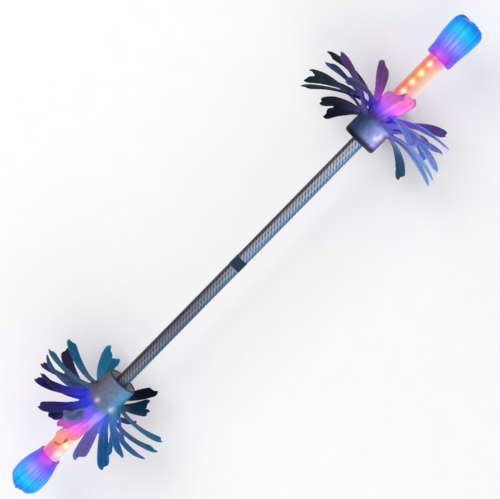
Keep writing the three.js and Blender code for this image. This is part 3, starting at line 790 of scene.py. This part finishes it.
def make_shaft():
    """The twill wrap: slanting ridges of thread, each dipping under its neighbours in turn."""
    low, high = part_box("grip_sleeve")
    start, end = low[0] / MM, high[0] / MM
    around = np.arange(SHAFT_STEPS) * 2 * math.pi / SHAFT_STEPS
    x, turn = np.meshgrid(np.linspace(start, end, SHAFT_ROWS), around, indexing="ij")
    lane = turn * STRANDS / (2 * math.pi) + x * STRANDS / STRAND_PITCH
    weave = turn * STRANDS / (2 * math.pi) - x * STRANDS / STRAND_PITCH * CROSSING
    ridge = np.abs(np.cos(math.pi * lane)) ** 0.8
    dip = 0.5 + 0.5 * np.cos(math.pi * weave + math.pi * np.floor(lane))
    crest = ridge * (0.55 + 0.45 * dip)
    radius = GRIP_RADIUS - 0.2 + STRAND_HEIGHT * crest
    points = [np.stack([x, radius * np.cos(turn), radius * np.sin(turn)], -1).reshape(-1, 3)]
    for at in (end, start):
        y, z = SHAFT_BORE * np.cos(around), SHAFT_BORE * np.sin(around)
        points.append(np.stack([np.full(SHAFT_STEPS, at), y, z], -1))
    faces = grid_faces(SHAFT_ROWS, SHAFT_STEPS)
    total = SHAFT_ROWS * SHAFT_STEPS
    last = total - SHAFT_STEPS
    for c in range(SHAFT_STEPS):
        d = (c + 1) % SHAFT_STEPS
        for near, far in ((last, total), (total, total + SHAFT_STEPS), (total + SHAFT_STEPS, 0)):
            faces.append((near + c, near + d, far + d, far + c))
    obj = new_object("wrapped_shaft", np.concatenate(points), faces)
    fix_normals(obj)
    # painted light along the stick and on the underside
    painted_light = np.interp(x, *zip(*WRAP_PAINTED_LIGHT))
    painted_light += (UNDERSIDE_PAINTED_LIGHT - painted_light) * smooth_step(0, 0.6, -np.sin(turn))
    # painted shade in the dips between the threads, lighter on their crests
    tint = ramp(np.degrees(turn), WRAP_LIGHT_AND_SHADE) * ((0.1 + 1.2 * crest) * painted_light)[:, :, None]
    rims = np.tile(RIM_TINT, (2 * SHAFT_STEPS, 1))
    paint(obj, "tint", np.concatenate([tint.reshape(-1, 3), rims]))
    obj.data.materials.append(weave_shader.material)
    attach(obj, "stick")
    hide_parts("grip_sleeve")


weave_shader = Shader("weave", Metallic=0.35, Sheen_Weight=0.2)
weave_noise = weave_shader.noise(1400, 3, stretch=(0.4, 1, 1))
weave_mottle = weave_shader.spread(weave_noise, 0.7, 1.25)
weave_shader.feed("Base Color", weave_shader.tint(weave_shader.attribute("tint"), weave_mottle))
weave_shader.feed("Roughness", weave_shader.spread(weave_noise, 0.3, 0.5))
weave_shader.bump(weave_noise, 0.05)
make_shaft()

dress(["centre_band"], plain("tape", (18, 44, 62), (30, 62, 84), 500, (0.4, 0.55), 0.03,
                             Specular_IOR_Level=0.15))
dress(["core_tube"], plain("fibreglass", (34, 40, 44), (52, 60, 66), 700, (0.35, 0.5)))


# ---- the lit tubes --------------------------------------------------------------------------
# The colour of the light along each tube, against x. Then the colours that it turns to: on the +Y
# side of the tube, on its -Y side and over each LED.
LIGHT_STOPS = {
    "right": [(182, (70, 40, 240)), (205, (120, 50, 245)), (222, (235, 70, 220)), (236, (250, 96, 130)),
              (252, (236, 158, 74)), (263, (242, 166, 80)), (273, (250, 100, 130)), (281, (242, 46, 200)),
              (290, (206, 50, 240))],
    "left": [(182, (60, 70, 230)), (215, (130, 60, 245)), (232, (235, 40, 225)), (244, (255, 96, 120)),
             (254, (252, 160, 110)), (264, (248, 166, 120)), (272, (252, 130, 190)), (281, (246, 96, 236)),
             (290, (240, 100, 250))],
}
UPPER_LIGHT = {"right": (236, 120, 44), "left": (250, 110, 130)}
LOWER_LIGHT, LED_LIGHT = (255, 236, 226), (255, 246, 176)
# How fast the spot over an LED fades, per square millimetre.
SPOT_FADE = 0.11


def lit_tube_shader(side):
    """Clear plastic that glows along its length and is brightest over each LED."""
    shader = Shader(f"{side}_lit_tube", Roughness=0.12, Specular_IOR_Level=0.4, Alpha=0.85,
                    Base_Color=(0.1, 0.03, 0.05))
    maths = shader.maths
    spread = shader.spread
    parts = shader.node("ShaderNodeSeparateXYZ")
    shader.link(shader.node("ShaderNodeTexCoord").outputs["Object"], parts.inputs[0])
    along = maths("MULTIPLY", parts.outputs["X"], SIDES[side] / MM)
    y = maths("MULTIPLY", parts.outputs["Y"], 1 / MM)
    z = maths("MULTIPLY", parts.outputs["Z"], 1 / MM)
    light = shader.colours_along(along, LIGHT_STOPS[side])
    upper = spread(y, 0, 0.75, 0.15 * TUBE_RADIUS, 0.95 * TUBE_RADIUS)
    light = shader.toward(upper, light, UPPER_LIGHT[side])
    lower = maths("MULTIPLY", spread(y, 1, 0, -0.7 * TUBE_RADIUS, 0.1 * TUBE_RADIUS),
                  spread(along, 0.85, 0.3, 270, 284))
    light = shader.toward(lower, light, LOWER_LIGHT)
    # the distance from the middle of the nearest LED, along the tube and round it
    turn = math.radians(90 + STRIP_TURN[side])
    past = maths("PINGPONG", maths("SUBTRACT", along, LAST_LED), LED_PITCH / 2)
    aside = maths("ADD", maths("MULTIPLY", y, -math.sin(turn)), maths("MULTIPLY", z, math.cos(turn)))
    ahead = maths("ADD", maths("MULTIPLY", y, math.cos(turn)), maths("MULTIPLY", z, math.sin(turn)))
    apart = maths("ADD", maths("MULTIPLY", past, past), maths("MULTIPLY", aside, aside))
    # a spot shows only on the sides that the two strips face
    spot = maths("POWER", math.e, maths("MULTIPLY", apart, -SPOT_FADE))
    spot = maths("MULTIPLY", spot, maths("GREATER_THAN", maths("ABSOLUTE", ahead), 4))
    shader.feed("Emission Color", shader.toward(maths("MULTIPLY", spot, 0.9), light, LED_LIGHT))
    shader.feed("Emission Strength", maths("ADD", 0.8, maths("MULTIPLY", spot, 0.5)))
    return shader


for side in SIDES:
    dress([f"{side}_light_tube"], lit_tube_shader(side))

strip_shader = plain("led_strip", (255, 214, 150), (255, 236, 200), 400, (0.3, 0.5),
                     Emission_Color=tuple(linear((255, 214, 150))), Emission_Strength=1.2)
dress(both("led_strip_front", "led_strip_back", "tip_led_1", "tip_led_2"), strip_shader)
# the carrier glows with painted light from the LEDs that shine on it
dress(both("led_carrier"), plain("white_plastic", (248, 232, 224), (255, 242, 236), 250, (0.4, 0.6),
                                 Emission_Color=tuple(linear((255, 150, 130))), Emission_Strength=0.25))
dress(both("battery_cell"), plain("cell_foil", (140, 148, 160), (170, 176, 188), 600, (0.25, 0.4),
                                  Metallic=0.8))
board_shader = plain("board", (232, 230, 224), (244, 242, 236), 500, (0.35, 0.5))
dress(both("control_board", "switch_board"), board_shader)
dress(both("ribbon_lead"), plain("wire", (120, 26, 34), (150, 36, 44), 700, (0.4, 0.55)))
black_shader = plain("black_plastic", (16, 18, 22), (28, 30, 34), 500, (0.35, 0.5))
dress(both("shaft_coupler", "tact_switch"), black_shader)
dress(both("plug_seal"), plain("seal", (28, 28, 30), (40, 40, 42), 700, (0.5, 0.65)))
dress(both("charge_socket"), plain("steel", (176, 180, 186), (200, 204, 210), 900, (0.22, 0.36),
                                   Metallic=0.95))
dress(both("mode_button"), plain("button", (36, 84, 210), (52, 100, 226), 500, (0.4, 0.55)))
dress(both("end_plug"), plain("opal_plastic", (205, 170, 250), (225, 190, 255), 400, (0.3, 0.45),
                              Emission_Color=tuple(linear((200, 90, 250))), Emission_Strength=0.5))


# ---- floor, lights and camera ---------------------------------------------------------------
def make_floor():
    half, gap = 6.0, 0.0005
    mesh = bpy.data.meshes.new("floor")
    z = cad_low[2] - gap
    corners = [(-half, -half, z), (half, -half, z), (half, half, z), (-half, half, z)]
    mesh.from_pydata(corners, [], [(0, 1, 2, 3)])
    floor = bpy.data.objects.new("floor", mesh)
    bpy.context.scene.collection.objects.link(floor)
    paper = plain("paper", (253, 253, 254), (255, 255, 255), 40, (0.8, 0.9), 0.0)
    mesh.materials.append(paper.material)


def make_light(name, place, size, power):
    """A square light, its size in metres and its power in watts, aimed at the middle of the stick."""
    data = bpy.data.lights.new(name, "AREA")
    data.shape = "SQUARE"
    data.size = size
    data.energy = power
    light = bpy.data.objects.new(name, data)
    bpy.context.scene.collection.objects.link(light)
    light.location = place
    aim = Vector((0, 0, 0)) - Vector(place)
    light.rotation_euler = aim.to_track_quat("-Z", "Y").to_euler()


def make_camera():
    """Looks down on the stick, a little from its right end, with the stick slanting up the frame."""
    place = Vector((0.1963, 0, 1.2564))
    aim = Vector((0.0182, 0.0013, 0))
    slant = math.radians(45.55)
    forward = (aim - place).normalized()
    along = Vector((1, 0, 0))
    along = (along - forward * along.dot(forward)).normalized()
    over = along.cross(forward)
    right = along * math.cos(slant) - over * math.sin(slant)
    up = along * math.sin(slant) + over * math.cos(slant)
    data = bpy.data.cameras.new("camera")
    data.lens = 91.1
    data.sensor_width = 36
    data.clip_start, data.clip_end = 0.05, 50
    camera = bpy.data.objects.new("camera", data)
    bpy.context.scene.collection.objects.link(camera)
    camera.matrix_world = Matrix((
        (right.x, up.x, -forward.x, place.x),
        (right.y, up.y, -forward.y, place.y),
        (right.z, up.z, -forward.z, place.z),
        (0, 0, 0, 1),
    ))
    bpy.context.scene.camera = camera


make_floor()
make_light("key", (0.3, 1.6, 1.9), size=1.6, power=24.5)
make_light("fill", (-0.9, -1.5, 1.5), size=1.8, power=16)
make_light("top", (0, 0, 2.6), size=2.4, power=15)
make_camera()

world = bpy.data.worlds.new("studio")
bpy.context.scene.world = world
world.use_nodes = True
world.node_tree.nodes["Background"].inputs["Color"].default_value = (1, 1, 1, 1)
world.node_tree.nodes["Background"].inputs["Strength"].default_value = 0.4
bpy.context.scene.view_settings.view_transform = "Standard"
bpy.context.scene.view_settings.look = "None"
